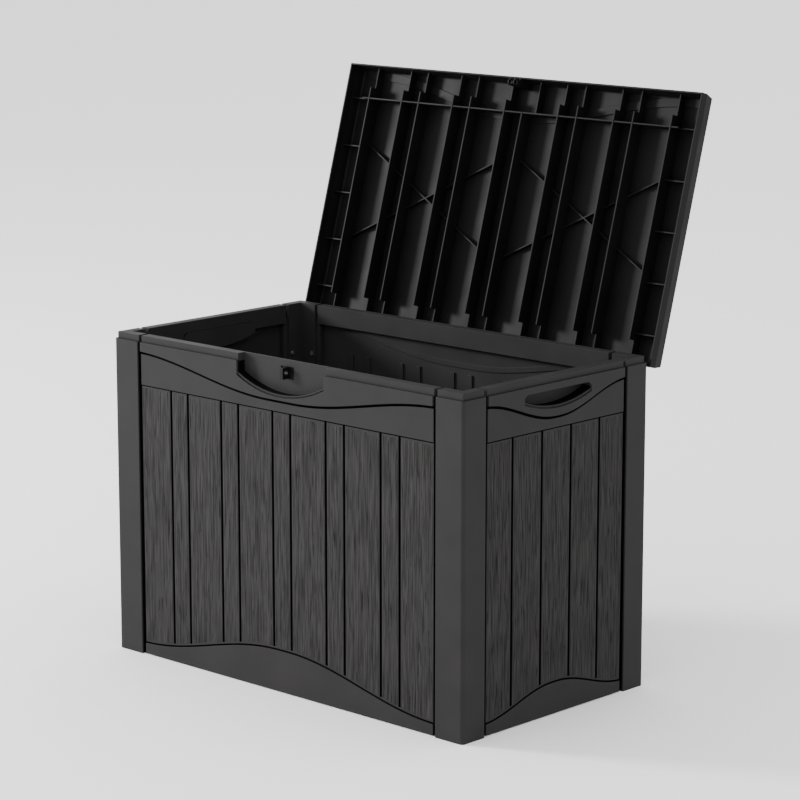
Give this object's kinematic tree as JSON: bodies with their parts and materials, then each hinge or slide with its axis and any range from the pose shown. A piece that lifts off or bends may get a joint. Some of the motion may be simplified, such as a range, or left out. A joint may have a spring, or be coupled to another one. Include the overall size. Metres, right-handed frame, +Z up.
{
  "type": "storage bench",
  "caption": "Moulded resin storage bench: a panelled box with corner posts, a front scoop with padlock lug, side handles and a ribbed lid that hinges open at the back and is sat on when closed.",
  "frame": {"origin": "on the ground, under the middle of the box (the foot under the floor panel)", "axes": "+Z up; the front with the scoop faces -Y; the lid hinges along X at the back and is open at rest"},
  "size_m": [0.72, 0.5481, 0.8757],
  "materials": {
    "charcoal_resin": "satin, wood-grain embossed planks with smooth bands and posts",
    "black_resin": "satin",
    "plated_steel": "zinc plated"
  },
  "bodies": {
    "box": {"post_front_left": "charcoal_resin", "post_front_right": "charcoal_resin", "post_back_left": "charcoal_resin", "post_back_right": "charcoal_resin", "front_panel": "charcoal_resin", "back_panel": "charcoal_resin", "left_panel": "charcoal_resin", "right_panel": "charcoal_resin", "floor_panel": "black_resin", "lock_lug": "black_resin", "hinge_leaf_back_left": "black_resin", "hinge_leaf_back_right": "black_resin", "hinge_pin_left": "plated_steel", "hinge_pin_right": "plated_steel", "post_screws": "plated_steel", "floor_screws": "plated_steel", "hinge_back_screws": "plated_steel", "lock_screws": "plated_steel"},
    "lid": {"lid": "black_resin", "hinge_leaf_lid_left": "black_resin", "hinge_leaf_lid_right": "black_resin", "hinge_lid_screws": "plated_steel"}
  },
  "joints": [
    {"name": "lid_hinge", "type": "hinge", "parent": "box", "child": "lid", "pos_m": [0, 0.2047, 0.4879], "axis": [1, 0, 0], "range_deg": [0, 106]}
  ]
}
